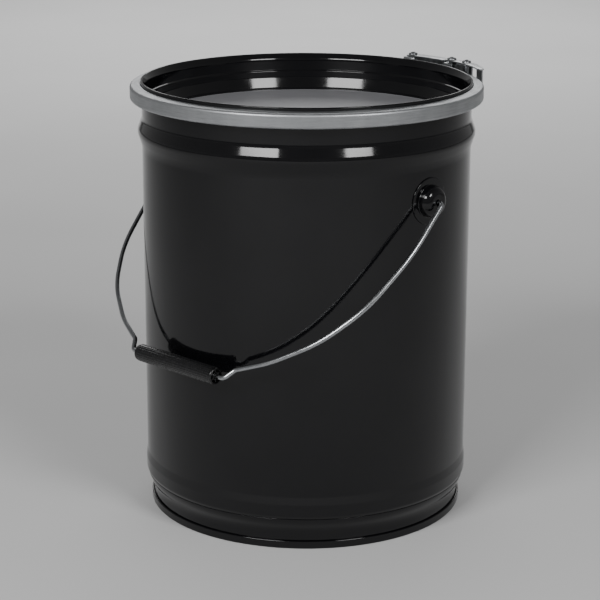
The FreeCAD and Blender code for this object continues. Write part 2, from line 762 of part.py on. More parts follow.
def export(pieces):
    """Write one STEP file a piece and print what it holds."""
    os.makedirs("parts", exist_ok=True)
    for piece in pieces:
        piece.Shape.exportStep(f"parts/{piece.Label}.step")
        box = piece.Shape.BoundBox
        spans = f"x {box.XMin:.1f}..{box.XMax:.1f}  y {box.YMin:.1f}..{box.YMax:.1f}"
        spans += f"  z {box.ZMin:.1f}..{box.ZMax:.1f}"
        solids = f"{len(piece.Shape.Solids)} solid {piece.Shape.Volume:12.1f} mm3"
        print(f"{piece.Label:18s} {solids}  {spans}")


pieces = build()
check(pieces)
export(pieces)
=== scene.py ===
"""Lever-lock steel pail: finish, studio, camera. Metres in the scene, millimetres in the sizes below."""
import math

import bmesh
import bpy
from mathutils import Matrix, Vector


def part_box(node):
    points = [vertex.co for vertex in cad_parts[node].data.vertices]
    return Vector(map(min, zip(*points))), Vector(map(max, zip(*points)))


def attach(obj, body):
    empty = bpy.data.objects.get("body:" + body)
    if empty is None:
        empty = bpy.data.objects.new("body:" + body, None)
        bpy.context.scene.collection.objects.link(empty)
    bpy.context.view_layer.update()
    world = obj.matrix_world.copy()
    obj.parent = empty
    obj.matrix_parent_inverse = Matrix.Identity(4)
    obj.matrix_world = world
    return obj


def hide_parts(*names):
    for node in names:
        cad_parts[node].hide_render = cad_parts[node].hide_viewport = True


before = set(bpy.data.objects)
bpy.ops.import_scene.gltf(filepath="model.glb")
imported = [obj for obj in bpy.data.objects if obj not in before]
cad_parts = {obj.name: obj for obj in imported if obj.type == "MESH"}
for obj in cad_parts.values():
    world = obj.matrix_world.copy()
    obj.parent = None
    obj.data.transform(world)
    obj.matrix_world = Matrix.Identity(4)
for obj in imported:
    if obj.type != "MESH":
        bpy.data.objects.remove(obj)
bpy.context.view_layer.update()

MM = 0.001


def reach(node, axis):
    """How far a CAD node reaches up one axis (0, 1 or 2), in millimetres."""
    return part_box(node)[1][axis] / MM


# ---------------------------------------------------------------- sizes, some read from the CAD nodes
SHEET = 0.6
CURL = 4.0
MOUTH = reach("body_shell", 2)
GASKET_HALF = 2.35
CURL_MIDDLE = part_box("cover_gasket")[1].x / MM - GASKET_HALF
WALL = CURL_MIDDLE - CURL + SHEET / 2
NECK_IN = 5.45
NECK = WALL - NECK_IN
SEAM_GAP = 0.05
LAYER = SHEET + SEAM_GAP
HOOK_BEND = LAYER * 0.98
SEAM_HEIGHT = 7.0
TOP_BEAD = MOUTH - 36.5

COVER_SHEET = 0.7
COVER_TOP = reach("cover", 2)
PLUG_GAP = 2.0
COVER_WALL = WALL - SHEET / 2 - PLUG_GAP - COVER_SHEET / 2
PANEL = MOUTH - 26.85
CHANNEL = MOUTH + 1.7
SKIRT_GAP = 0.5
SKIRT = CURL_MIDDLE + CURL + SKIRT_GAP + COVER_SHEET / 2
SKIRT_DROP = 7.0

BAND_SHEET = 1.0
WEB_GAP = 0.4
BAND_WEB = SKIRT + COVER_SHEET / 2 + WEB_GAP + BAND_SHEET / 2
BAND_TOP = CHANNEL + 0.7
BAND_BOTTOM = MOUTH - 2 * CURL - 0.6
RIDGE_WIDTH = 3.2
LIP_GAP = 0.75
LIP_EDGE = COVER_WALL + RIDGE_WIDTH + COVER_SHEET / 2 + LIP_GAP
BAND_SPLIT = 88.0        # the bearing where the band begins, and the width of its gap, in degrees
SPLIT_WIDTH = 3.0

EAR_REACH = reach("ear_right", 0)
EAR_RADIUS = reach("ear_right", 1)
EAR_SHEET = 1.0
CUP_RADIUS = 13.0
PIVOT = reach("ear_right", 2) - EAR_RADIUS

WIRE = 2.0
BAIL_LEAN = math.radians(47.95)
WIRE_END = EAR_REACH - 7.0
ELBOW = EAR_REACH + 4.5

GRIP_HALF = reach("bail_grip", 0)
GRIP_RADIUS = (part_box("bail_grip")[1].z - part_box("bail_grip")[0].z) / MM / 2
GRIP_SEAT = (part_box("bail_grip")[1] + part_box("bail_grip")[0]) / 2
SEAT_OUT = -GRIP_SEAT.y / MM / math.sin(BAIL_LEAN)

RIVET = 2.5
RIVET_HEAD = 4.3
RIVET_DOME = 2.5         # height of the head at each end

TINY = 2e-6              # points nearer than this are merged, in metres
FLAT_ANGLE = 0.6         # faces that meet at fewer degrees than this are merged
SHARP_ANGLE = 35         # edges that turn through more degrees than this are rounded off


# ---------------------------------------------------------------- nodes, in materials and in geometry
def add(tree, kind, inputs=(), **settings):
    """One node: its settings, then each input's value or the socket that feeds it."""
    made = tree.nodes.new(kind)
    for name, value in settings.items():
        setattr(made, name, value)
    for name, value in dict(inputs).items():
        if isinstance(value, bpy.types.NodeSocket):
            tree.links.new(value, made.inputs[name])
        else:
            made.inputs[name].default_value = value
    return made


def linear(hex_colour):
    """An sRGB hex colour as linear red, green, blue and alpha."""
    parts = [int(hex_colour[n:n + 2], 16) / 255 for n in (1, 3, 5)]
    return tuple(p / 12.92 if p <= 0.04045 else ((p + 0.055) / 1.055) ** 2.4 for p in parts) + (1,)


def per(size_mm):
    """The noise scale that gives features of a real size."""
    return 1 / (size_mm * MM)


def tree_inputs(tree, sockets):
    """Name a geometry tree's inputs and its one output, and return its input node's outputs."""
    for name, kind in sockets:
        tree.interface.new_socket(name, in_out="INPUT", socket_type=f"NodeSocket{kind}")
    tree.interface.new_socket("Geometry", in_out="OUTPUT", socket_type="NodeSocketGeometry")
    return add(tree, "NodeGroupInput").outputs


def number(tree, operation, first, second=0.0):
    """The result of one sum, with fields or plain numbers."""
    return add(tree, "ShaderNodeMath", {0: first, 1: second}, operation=operation).outputs[0]


def spin_tree():
    """Turns a section in the XZ plane round Z: every grid point reads its place in the section."""
    tree = bpy.data.node_groups.new("spun_section", "GeometryNodeTree")
    given = tree_inputs(tree, (
        ("Section", "Geometry"), ("Columns", "Int"), ("Rows", "Int"),
        ("Start", "Float"), ("Span", "Float"), ("Finish", "Material"),
    ))
    points = add(tree, "GeometryNodeAttributeDomainSize", {"Geometry": given["Section"]}).outputs[0]
    grid = add(tree, "GeometryNodeMeshGrid", {
        "Vertices X": given["Columns"], "Vertices Y": given["Rows"],
    })
    index = add(tree, "GeometryNodeInputIndex").outputs[0]
    row = number(tree, "MODULO", number(tree, "MODULO", index, given["Rows"]), points)
    middle = number(tree, "ADD", index, 0.5)
    column = number(tree, "FLOOR", number(tree, "DIVIDE", middle, given["Rows"]))
    share = number(tree, "DIVIDE", column, number(tree, "SUBTRACT", given["Columns"], 1.0))
    angle = number(tree, "ADD", given["Start"], number(tree, "MULTIPLY", share, given["Span"]))
    here = add(tree, "GeometryNodeInputPosition").outputs[0]
    read = add(
        tree, "GeometryNodeSampleIndex",
        {"Geometry": given["Section"], "Value": here, "Index": row}, data_type="FLOAT_VECTOR",
    )
    place = add(tree, "ShaderNodeSeparateXYZ", {0: read.outputs[0]}).outputs
    turned = add(tree, "ShaderNodeCombineXYZ", {
        "X": number(tree, "MULTIPLY", place["X"], number(tree, "COSINE", angle)),
        "Y": number(tree, "MULTIPLY", place["X"], number(tree, "SINE", angle)),
        "Z": place["Z"],
    })
    ring = add(tree, "GeometryNodeSetPosition", {
        "Geometry": grid.outputs[0], "Position": turned.outputs[0],
    })
    joined = add(tree, "GeometryNodeMergeByDistance", {"Geometry": ring.outputs[0], "Distance": TINY})
    return finished(tree, joined.outputs[0], given["Finish"])


def sweep_tree():
    """A round wire along a path, closed at both ends."""
    tree = bpy.data.node_groups.new("swept_wire", "GeometryNodeTree")
    given = tree_inputs(tree, (
        ("Path", "Geometry"), ("Radius", "Float"), ("Sides", "Int"), ("Finish", "Material"),
    ))
    path = add(tree, "GeometryNodeMeshToCurve", {"Mesh": given["Path"]})
    ring = add(tree, "GeometryNodeCurvePrimitiveCircle", {
        "Resolution": given["Sides"], "Radius": given["Radius"],
    })
    wire = add(tree, "GeometryNodeCurveToMesh", {
        "Curve": path.outputs[0], "Profile Curve": ring.outputs[0], "Fill Caps": True,
    })
    return finished(tree, wire.outputs[0], given["Finish"])


def repeat_tree():
    """Copies of a pattern at even steps round Z."""
    tree = bpy.data.node_groups.new("repeated_round_axis", "GeometryNodeTree")
    given = tree_inputs(tree, (
        ("Pattern", "Geometry"), ("Count", "Int"), ("Finish", "Material"),
    ))
    spots = add(tree, "GeometryNodePoints", {"Count": given["Count"]})
    index = add(tree, "GeometryNodeInputIndex").outputs[0]
    turn = number(tree, "MULTIPLY", number(tree, "DIVIDE", index, given["Count"]), math.tau)
    around = add(tree, "ShaderNodeCombineXYZ", {"Z": turn})
    copies = add(tree, "GeometryNodeInstanceOnPoints", {
        "Points": spots.outputs[0], "Instance": given["Pattern"], "Rotation": around.outputs[0],
    })
    return finished(tree, copies.outputs[0], given["Finish"], smooth=False)


def finished(tree, shape, material, smooth=True):
    """The end of every tree: real geometry, smooth or faceted, in its own finish."""
    real = add(tree, "GeometryNodeRealizeInstances", {"Geometry": shape})
    shaded = add(tree, "GeometryNodeSetShadeSmooth", {
        "Geometry": real.outputs[0], "Shade Smooth": smooth,
    })
    done = add(tree, "GeometryNodeSetMaterial", {
        "Geometry": shaded.outputs[0], "Material": material,
    })
    add(tree, "NodeGroupOutput", {"Geometry": done.outputs[0]})
    return tree


def grown(name, tree, points, edges=(), faces=(), turn=Matrix(), **inputs):
    """Run a tree on a small mesh given in millimetres, and keep the result as a plain closed mesh."""
    seed = bpy.data.meshes.new(f"{name}_seed")
    seed.from_pydata([Vector(p) * MM for p in points], edges, faces)
    source = bpy.data.objects.new(f"{name}_source", seed)
    bpy.context.scene.collection.objects.link(source)
    modifier = source.modifiers.new("grow", "NODES")
    modifier.node_group = tree
    for item in tree.interface.items_tree:
        if item.in_out == "INPUT" and item.name in inputs:
            modifier[item.identifier] = inputs[item.name]
    view = bpy.context.evaluated_depsgraph_get()
    mesh = bpy.data.meshes.new_from_object(source.evaluated_get(view), depsgraph=view)
    bpy.data.objects.remove(source)
    return settled(name, mesh, turn)


def settled(name, mesh, turn=Matrix()):
    """Close a mesh's open ends, point its faces outwards, put it in place and make it an object."""
    made = bmesh.new()
    made.from_mesh(mesh)
    bmesh.ops.remove_doubles(made, verts=made.verts, dist=TINY)
    ends = [edge for edge in made.edges if edge.is_boundary]
    if ends:
        bmesh.ops.holes_fill(made, edges=ends, sides=0)
    bmesh.ops.recalc_face_normals(made, faces=made.faces)
    made.to_mesh(mesh)
    made.free()
    mesh.transform(turn)
    mesh.name = name
    piece = bpy.data.objects.new(name, mesh)
    bpy.context.scene.collection.objects.link(piece)
    return piece


# ---------------------------------------------------------------- sections of bent sheet
def bent_path(corners, step=12.0, hold=0.35):
    """Points of a path through (x, y, bend) corners; each straight run is held at both its ends.

    A bend has a point at least every step degrees. A straight run has two more, each hold from an end.
    """
    spots = [Vector(corner[:2]) for corner in corners]
    runs = [[spots[0]]]
    for before, corner, after, (_, _, bend) in zip(spots, spots[1:], spots[2:], corners[1:]):
        back = (before - corner).normalized()
        ahead = (after - corner).normalized()
        half = back.angle(ahead) / 2
        if bend == 0:
            runs.append([corner])
            continue
        centre = corner + (back + ahead).normalized() * bend / math.sin(half)
        arm = corner + back * bend / math.tan(half) - centre
        turn = math.copysign(math.pi - 2 * half, ahead.cross(back))
        count = max(2, math.ceil(abs(math.degrees(turn)) / step))
        runs.append([centre + Matrix.Rotation(turn * n / count, 2) @ arm for n in range(count + 1)])
    runs.append([spots[-1]])
    path = []
    for run, following in zip(runs, runs[1:]):
        path += run
        straight = following[0] - run[-1]
        if straight.length > 4 * hold:
            near = straight.normalized() * hold
            path += [run[-1] + near, following[0] - near]
    return path + runs[-1]


def sheet_section(corners, thick, step=12.0):
    """Outline of a sheet bent along a path, its free edges rounded; on the axis it stays open."""
    path = bent_path(corners, step)
    left, right, ways = [], [], []
    for n, spot in enumerate(path):
        coming = (spot - path[n - 1]).normalized() if n else (path[1] - spot).normalized()
        leaving = (path[n + 1] - spot).normalized() if n + 1 < len(path) else coming
        way = (coming + leaving).normalized()
        across = Vector((-way.y, way.x)) * thick / 2 / max(0.5, way.dot(coming))
        left.append(spot + across)
        right.append(spot - across)
        ways.append(way)

    def edge(spot, way):
        across = Vector((-way.y, way.x))
        bends = [math.radians(angle) for angle in (30, 60, 90, 120, 150)]
        return [spot + (across * math.cos(a) + way * math.sin(a)) * thick / 2 for a in bends]

    outline = left + edge(path[-1], ways[-1]) + right[::-1]
    if path[0].x > 0:
        outline += edge(path[0], -ways[0])
    return outline


def spun(name, outline, finish, columns=240, start=0.0, span=360.0, closed=True, turn=Matrix()):
    """A section spun round Z as one piece, by the spinning tree."""
    return grown(
        name, SPIN, [(p.x, 0, p.y) for p in outline], turn=turn,
        Columns=columns + 1, Rows=len(outline) + closed,
        Start=math.radians(start), Span=math.radians(span), Finish=finish,
    )


def belongs(piece, body, slot, *nodes):
    """Hang a piece on the body it rides on and hide the CAD nodes it stands for; the slot is not used."""
    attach(piece, body)
    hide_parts(*nodes)


SPIN = spin_tree()
SWEEP = sweep_tree()
REPEAT = repeat_tree()


# ---------------------------------------------------------------- finishes
ENAMEL_BLACK = "#08080A"
ENAMEL_SHADES = ("#070709", "#0B0B0D")
ENAMEL_IOR = 1.42        # chosen, not measured: under enamel's usual 1.5, so that the wall mirrors less
SEAM_ANGLE = 134.5       # bearing of the wall's weld, a guess
WELD_TOP = 0.6           # half widths of the weld on top and at its foot, and its height
WELD_FOOT = 2.2
WELD_HIGH = 0.08
FLAT_MARGIN = 0.25       # how far above the cover's flat its satin reaches
STREAK_WIDTH = 0.6       # not measured: real mill lines are too fine to show, so drawn coarser
STREAK_STRETCH = 0.004   # metres of pattern to a radian, which draws the streaks out along the roll


def finish(name, colour, roughness, metallic=0.0, ior=1.5):
    """A new material with its shader's own values set, and the sockets that patterns start from."""
    material = bpy.data.materials.new(name)
    material.use_nodes = True
    tree = material.node_tree
    tree.nodes.clear()
    shader = add(tree, "ShaderNodeBsdfPrincipled", {
        "Base Color": linear(colour), "Roughness": roughness, "Metallic": metallic, "IOR": ior,
    })
    add(tree, "ShaderNodeOutputMaterial", {"Surface": shader.outputs[0]})
    place = add(tree, "ShaderNodeTexCoord").outputs["Object"]
    return material, tree, shader, place


def mottled(tree, place, scale, low, high, detail=2.0, to=(0.0, 1.0)):
    """Noise of a given scale, whose stretch from low to high is spread over another range."""
    noise = add(tree, "ShaderNodeTexNoise", {"Vector": place, "Scale": scale, "Detail": detail})
    return add(tree, "ShaderNodeMapRange", {
        "Value": noise.outputs[0], "From Min": low, "From Max": high, "To Min": to[0], "To Max": to[1],
    }).outputs[0]


def colour_mix(tree, share, first, second):
    """Two colours, sRGB hex or another mix, from the first to the second as the share goes from 0 to 1."""
    ends = [linear(end) if isinstance(end, str) else end for end in (first, second)]
    mix = add(tree, "ShaderNodeMix", data_type="RGBA", inputs={0: share, 6: ends[0], 7: ends[1]})
    return mix.outputs[2]


def relief(tree, shader, height, depth_mm, below=None):
    """Bump of a real depth, on top of another if there is one."""
    inputs = {"Height": height, "Distance": depth_mm * MM, "Strength": 1.0}
    if below is not None:
        inputs["Normal"] = below
    bump = add(tree, "ShaderNodeBump", inputs)
    tree.links.new(bump.outputs[0], shader.inputs["Normal"])
    return bump.outputs[0]


def sheet_waves(tree, shader, place):
    """The slow waves that rolled sheet keeps, under the fine orange peel of a stoved finish."""
    waves = relief(tree, shader, mottled(tree, place, per(70), 0.0, 1.0, detail=1.0), 0.22)
    peel = mottled(tree, place, per(2.2), 0.0, 1.0, detail=1.0)
    return relief(tree, shader, peel, 0.0018, below=waves)


def round_axis(tree, place, angle):
    """Object coordinates turned by an angle in degrees round the pail's axis, as separate axes."""
    turned = add(tree, "ShaderNodeMapping", {"Vector": place, "Rotation": (0, 0, math.radians(angle))})
    return add(tree, "ShaderNodeSeparateXYZ", {0: turned.outputs[0]}).outputs


def baked_enamel(name, seam_angle=None):
    """Stoved black enamel over rolled sheet: deep gloss, slight orange peel, soft waves of the sheet."""
    material, tree, shader, place = finish(name, ENAMEL_BLACK, 0.1, ior=ENAMEL_IOR)
    haze = mottled(tree, place, per(55), 0.35, 0.75, detail=3.0)
    shade = colour_mix(tree, haze, *ENAMEL_SHADES)
    dust = mottled(tree, place, per(1.4), 0.68, 0.76, detail=3.0, to=(0.0, 0.05))
    tree.links.new(colour_mix(tree, dust, shade, "#4A4A4C"), shader.inputs["Base Color"])
    gloss = mottled(tree, place, per(40), 0.3, 0.7, detail=4.0, to=(0.07, 0.12))
    tree.links.new(gloss, shader.inputs["Roughness"])
    normal = sheet_waves(tree, shader, place)
    if seam_angle is not None:
        axes = round_axis(tree, place, -seam_angle)
        beside = number(tree, "ABSOLUTE", axes["Y"])
        weld = add(tree, "ShaderNodeMapRange", {
            "Value": beside, "From Min": WELD_TOP * MM, "From Max": WELD_FOOT * MM,
            "To Min": 1.0, "To Max": 0.0,
        }, interpolation_type="SMOOTHSTEP").outputs[0]
        near = number(tree, "MULTIPLY", weld, number(tree, "GREATER_THAN", axes["X"], 0.0))
        relief(tree, shader, near, WELD_HIGH, below=normal)
    return material


def cover_enamel(name, flat_height):
    """Black enamel of the cover: glossy on its walls, and satin grey on the flat."""
    material, tree, shader, place = finish(name, ENAMEL_BLACK, 0.1, ior=ENAMEL_IOR)
    height = add(tree, "ShaderNodeSeparateXYZ", {0: place}).outputs["Z"]
    flat = number(tree, "LESS_THAN", height, flat_height * MM)
    cloud = mottled(tree, place, per(30), 0.3, 0.75, detail=4.0)
    satin = colour_mix(tree, cloud, "#757578", "#7C7C7F")
    gloss = colour_mix(tree, cloud, *ENAMEL_SHADES)
    tree.links.new(colour_mix(tree, flat, gloss, satin), shader.inputs["Base Color"])
    grain = mottled(tree, place, per(6), 0.3, 0.7, detail=3.0, to=(0.0, 0.04))
    rough = add(tree, "ShaderNodeMapRange", {"Value": flat, "To Min": 0.08, "To Max": 0.46}).outputs[0]
    tree.links.new(number(tree, "ADD", rough, grain), shader.inputs["Roughness"])
    sheet_waves(tree, shader, place)
    return material


def rolled_zinc(name, colours, roughness, start_angle=0.0):
    """Zinc-plated strip, roll-formed into a ring: dull silver with fine streaks along the roll."""
    material, tree, shader, place = finish(name, colours[0], roughness, 1.0)
    axes = round_axis(tree, place, 180 - start_angle)
    angle = number(tree, "ARCTAN2", axes["Y"], axes["X"])
    along = number(tree, "MULTIPLY", angle, STREAK_STRETCH)
    squares = [number(tree, "MULTIPLY", axes[axis], axes[axis]) for axis in ("X", "Y")]
    radius = number(tree, "SQRT", number(tree, "ADD", *squares))
    unrolled = add(tree, "ShaderNodeCombineXYZ", {"X": along, "Y": radius, "Z": axes["Z"]}).outputs[0]
    streaks = mottled(tree, unrolled, per(STREAK_WIDTH), 0.3, 0.7, detail=3.0)
    clouds = mottled(tree, place, per(16), 0.3, 0.75, detail=4.0)
    shares = number(tree, "MULTIPLY", streaks, 0.55), number(tree, "MULTIPLY", clouds, 0.45)
    tone = number(tree, "ADD", *shares)
    tree.links.new(colour_mix(tree, tone, *colours), shader.inputs["Base Color"])
    dull = add(tree, "ShaderNodeMapRange", {
        "Value": tone, "To Min": roughness + 0.08, "To Max": roughness - 0.06,
    }).outputs[0]
    tree.links.new(dull, shader.inputs["Roughness"])
    relief(tree, shader, streaks, 0.006)
    return material


def pressed_zinc(name, colours, roughness, grain_mm=0.5, depth_mm=0.01):
    """Zinc-plated pressing: cloudy silver with a slight grain."""
    material, tree, shader, place = finish(name, colours[0], roughness, 1.0)
    clouds = mottled(tree, place, per(9), 0.3, 0.75, detail=4.0)
    tree.links.new(colour_mix(tree, clouds, *colours), shader.inputs["Base Color"])
    spread = (roughness - 0.07, roughness + 0.1)
    dull = mottled(tree, place, per(1.5), 0.25, 0.75, detail=3.0, to=spread)
    tree.links.new(dull, shader.inputs["Roughness"])
    relief(tree, shader, mottled(tree, place, per(grain_mm), 0.0, 1.0), depth_mm)
    return material


def drawn_wire(name):
    """Drawn and galvanised wire: smooth dull silver, its tone changing slowly along its length."""
    material, tree, shader, place = finish(name, "#A4A6A8", 0.24, 1.0)
    tone = mottled(tree, place, per(18), 0.3, 0.7)
    tree.links.new(colour_mix(tree, tone, "#999B9E", "#B2B4B6"), shader.inputs["Base Color"])
    dull = mottled(tree, place, per(25), 0.3, 0.7, to=(0.2, 0.27))
    tree.links.new(dull, shader.inputs["Roughness"])
    relief(tree, shader, mottled(tree, place, per(9), 0.0, 1.0, detail=1.0), 0.02)
    return material


def moulded_polythene(name):
    """Black polyethylene from a mould: softly shiny, with faint flow marks and a soft unevenness."""
    material, tree, shader, place = finish(name, "#0B0B0C", 0.28, ior=1.51)
    flow = mottled(tree, place, per(9), 0.3, 0.7, detail=3.0)
    tree.links.new(colour_mix(tree, flow, "#09090A", "#0F0F11"), shader.inputs["Base Color"])
    dull = mottled(tree, place, per(3), 0.3, 0.7, to=(0.22, 0.34))
    tree.links.new(dull, shader.inputs["Roughness"])
    relief(tree, shader, mottled(tree, place, per(4), 0.0, 1.0, detail=1.0), 0.01)
    return material


def poured_rubber(name, colours, pore_mm):
    """Sealing compound poured and cured in place: matt, slightly porous."""
    material, tree, shader, place = finish(name, colours[0], 0.75, ior=1.52)
    pores = mottled(tree, place, per(pore_mm), 0.4, 0.6, detail=3.0)
    tree.links.new(colour_mix(tree, pores, *colours), shader.inputs["Base Color"])
    relief(tree, shader, pores, 0.06)
    return material


WALL_ENAMEL = baked_enamel("stoved_black_enamel_wall", SEAM_ANGLE)
ENAMEL = baked_enamel("stoved_black_enamel_pressings")
COVER_ENAMEL = cover_enamel("stoved_black_enamel_cover", PANEL + COVER_SHEET / 2 + FLAT_MARGIN)
BAND_ZINC = rolled_zinc("rolled_zinc_plated_strip", ("#989A9C", "#BABCBE"), 0.45, BAND_SPLIT)
LOCK_ZINC = pressed_zinc("pressed_zinc_plated_steel", ("#9C9EA0", "#B6B8B9"), 0.33)
RIVET_ZINC = pressed_zinc("formed_rivet_steel", ("#6E7072", "#A2A4A6"), 0.3, 0.8, 0.02)
WIRE_ZINC = drawn_wire("drawn_galvanised_wire")
GRIP_PLASTIC = moulded_polythene("moulded_black_polyethylene")
GASKET_RUBBER = poured_rubber("foamed_black_gasket", ("#1B1B1C", "#2C2C2D"), 0.5)
SEAM_RUBBER = poured_rubber("cured_seam_compound", ("#5A4F3E", "#75684F"), 0.4)


# ---------------------------------------------------------------- pail
def pail_wall():
    """Rolled wall with its body hook, necked foot, two beads and curled mouth."""
    curl_bend = (CURL - SHEET / 2) * 0.99
    curl_out = WALL + 2 * (CURL - SHEET / 2)
    curl_low = MOUTH - 2 * CURL + SHEET / 2
    hook_top, neck_top, shoulder = 5.4, 16, 26
    low_bead_out, top_bead_out = 1.1, 4.2
    corners = [
        (NECK + 2 * LAYER, hook_top, 0),
        (NECK + 2 * LAYER, SHEET / 2 + LAYER, HOOK_BEND),
        (NECK, SHEET / 2 + LAYER, HOOK_BEND),
        (NECK, neck_top, 15),
        (WALL, shoulder, 15),
        (WALL, 29, 2),
        (WALL + low_bead_out, 31, 4),
        (WALL + low_bead_out, 41, 6),
        (WALL, 48, 6),
        (WALL, TOP_BEAD - 13, 20),
        (WALL + top_bead_out, TOP_BEAD, 8),
        (WALL, TOP_BEAD + 11, 8),
        (WALL, MOUTH - SHEET / 2, curl_bend),
        (curl_out, MOUTH - SHEET / 2, curl_bend),
        (curl_out, curl_low, curl_bend),
        (WALL + 2, curl_low, 0),
    ]
    wall = spun("pail_wall", sheet_section(corners, SHEET, 10), WALL_ENAMEL)
    belongs(wall, "pail", "black_paint", "body_shell")


def pail_bottom():
    """Pressed disc folded round the foot of the wall."""
    chuck = NECK - LAYER
    hook = NECK + LAYER
    outside = NECK + 3 * LAYER
    disc, step = 9, 10.5
    corners = [
        (0, disc, 0),
        (chuck - 9, disc, 2),
        (chuck - 7, step, 2),
        (chuck, step, 2),
        (chuck, SHEET / 2, 0.9),
        (outside, SHEET / 2, 0.9),
        (outside, SEAM_HEIGHT - SHEET / 2, HOOK_BEND),
        (hook, SEAM_HEIGHT - SHEET / 2, HOOK_BEND),
        (hook, 2 * LAYER + SHEET, 0),
    ]
    bottom = spun("pail_bottom", sheet_section(corners, SHEET), ENAMEL, closed=False)
    belongs(bottom, "pail", "black_paint", "bottom_end")


def seam_bead():
    """Bead of compound in the fold of the bottom seam."""
    low, high = (corner.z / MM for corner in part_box("seam_compound"))
    middle = NECK + 2 * LAYER
    corners = [(middle, low + 0.2, 0), (middle, high - 0.2, 0)]
    bead = spun("seam_bead", sheet_section(corners, 0.4), SEAM_RUBBER)
    belongs(bead, "pail", "sealing_compound", "seam_compound")


def bail_ear(name, node, angle):
    """Round stamped cup on a flange that lies against the wall, its hole rolled in for the wire."""
    face = EAR_REACH - EAR_SHEET / 2
    wall = WALL + SHEET / 2
    corners = [
        (EAR_RADIUS - EAR_SHEET / 2, wall + EAR_SHEET / 2, 0),
        (CUP_RADIUS + EAR_SHEET / 2, wall + EAR_SHEET / 2, 1.0),
        (CUP_RADIUS - 0.6, face, 6.4),
        (WIRE + 1.5, face, 0.6),
        (WIRE + 0.62, face - 1.0, 0),
    ]
    ear = spun(name, sheet_section(corners, EAR_SHEET, 10), ENAMEL, columns=96)
    lift = face - wall
    for vertex in ear.data.vertices:
        across, up, out = vertex.co.x / MM, vertex.co.y / MM, vertex.co.z / MM
        follow = min(1.0, max(0.0, (face - 1.5 - out) / (lift - 2.5)))
        drop = math.sqrt((wall + EAR_SHEET) ** 2 - across ** 2) - wall - EAR_SHEET
        vertex.co = Vector((out + follow * drop, across, PIVOT + up)) * MM
    ear.data.transform(Matrix.Rotation(math.radians(angle), 4, "Z"))
    belongs(ear, "pail", "black_paint", node)


# ---------------------------------------------------------------- cover
def plug_cover():
    """Pressed cover: flat panel, tapered foot, upright wall with a ledge, leaning rim, ridge and skirt."""
    ledge = MOUTH - 9.0
    upper = COVER_WALL - 0.5
    lower = COVER_WALL - 1.7
    foot = lower - 3.5
    ridge = COVER_TOP - COVER_SHEET / 2
    outside = COVER_WALL + RIDGE_WIDTH
    corners = [
        (0, PANEL, 0),
        (foot, PANEL, 1.2),
        (foot, PANEL + 2.8, 1),
        (lower, PANEL + 11.6, 3),
        (lower, ledge - 0.5, 1),
        (upper, ledge + 0.5, 1),
        (upper, MOUTH + 1.4, 5),
        (outside - 0.9, ridge, 0.5),
        (outside, ridge, 0.5),
        (outside, CHANNEL, 0.8),
        (SKIRT, CHANNEL, 2.5),
        (SKIRT, MOUTH - SKIRT_DROP, 0),
    ]
    cover = spun("plug_cover", sheet_section(corners, COVER_SHEET, 6), COVER_ENAMEL, closed=False)
    belongs(cover, "lid", "cover_paint", "cover")


def sealing_ring():
    """Foamed gasket in the cover's channel, its edges rounded by the pour."""
    low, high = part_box("cover_gasket")
    middle = (low.z + high.z) / 2 / MM
    thick = (high.z - low.z) / MM
    corners = [
        (CURL_MIDDLE - GASKET_HALF + thick / 2, middle, 0),
        (CURL_MIDDLE + GASKET_HALF - thick / 2, middle, 0),
    ]
    ring = spun("sealing_ring", sheet_section(corners, thick), GASKET_RUBBER)
    belongs(ring, "lid", "gasket_rubber", "cover_gasket")


# ---------------------------------------------------------------- closing band and its lock
def clamping_band():
    """Split band of C section, open where its two ends meet under the link."""
    lip_rise, lip_drop, bend = 1.1, 1, 1.9
    corners = [
        (LIP_EDGE, BAND_TOP + lip_rise, 0),
        (BAND_WEB, BAND_TOP, bend),
        (BAND_WEB, BAND_BOTTOM, bend),
        (CURL_MIDDLE, BAND_BOTTOM - lip_drop, 0),
    ]
    band = spun(
        "clamping_band", sheet_section(corners, BAND_SHEET, 8), BAND_ZINC,
        start=BAND_SPLIT, span=360 - SPLIT_WIDTH,
    )
    belongs(band, "band", "band_steel", "closing_band")


def softened(name, node, material, edge_mm=0.16):
    """A pressing with the CAD piece's shape, its sheared edges rounded off."""
    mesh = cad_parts[node].data.copy()
    mesh.materials.clear()
    mesh.materials.append(material)
    merged = bmesh.new()
    merged.from_mesh(mesh)
    bmesh.ops.remove_doubles(merged, verts=merged.verts, dist=TINY)
    bmesh.ops.dissolve_limit(
        merged, angle_limit=math.radians(FLAT_ANGLE), verts=merged.verts, edges=merged.edges,
    )
    for face in merged.faces:
        face.smooth = True
    merged.to_mesh(mesh)
    merged.free()
    piece = bpy.data.objects.new(name, mesh)
    bpy.context.scene.collection.objects.link(piece)
    bevel = piece.modifiers.new("sheared_edge", "BEVEL")
    bevel.width = edge_mm * MM
    bevel.segments = 2
    bevel.limit_method = "ANGLE"
    bevel.angle_limit = math.radians(SHARP_ANGLE)
    bevel.harden_normals = True
    view = bpy.context.evaluated_depsgraph_get()
    plain = bpy.data.meshes.new_from_object(piece.evaluated_get(view), depsgraph=view)
    piece.modifiers.clear()
    piece.data = plain
    return piece


def lock_pressings():
    """The lever, the link and the two lugs on the band."""
    for name, node, body in (
        ("lever_handle", "lever", "lever"),
        ("link_channel", "link", "link"),
        ("link_lug_eyes", "link_lug", "link_lug"),
        ("lever_lug_eyes", "lever_lug", "band"),
    ):
        belongs(softened(name, node, LOCK_ZINC), body, "lock_steel", node)


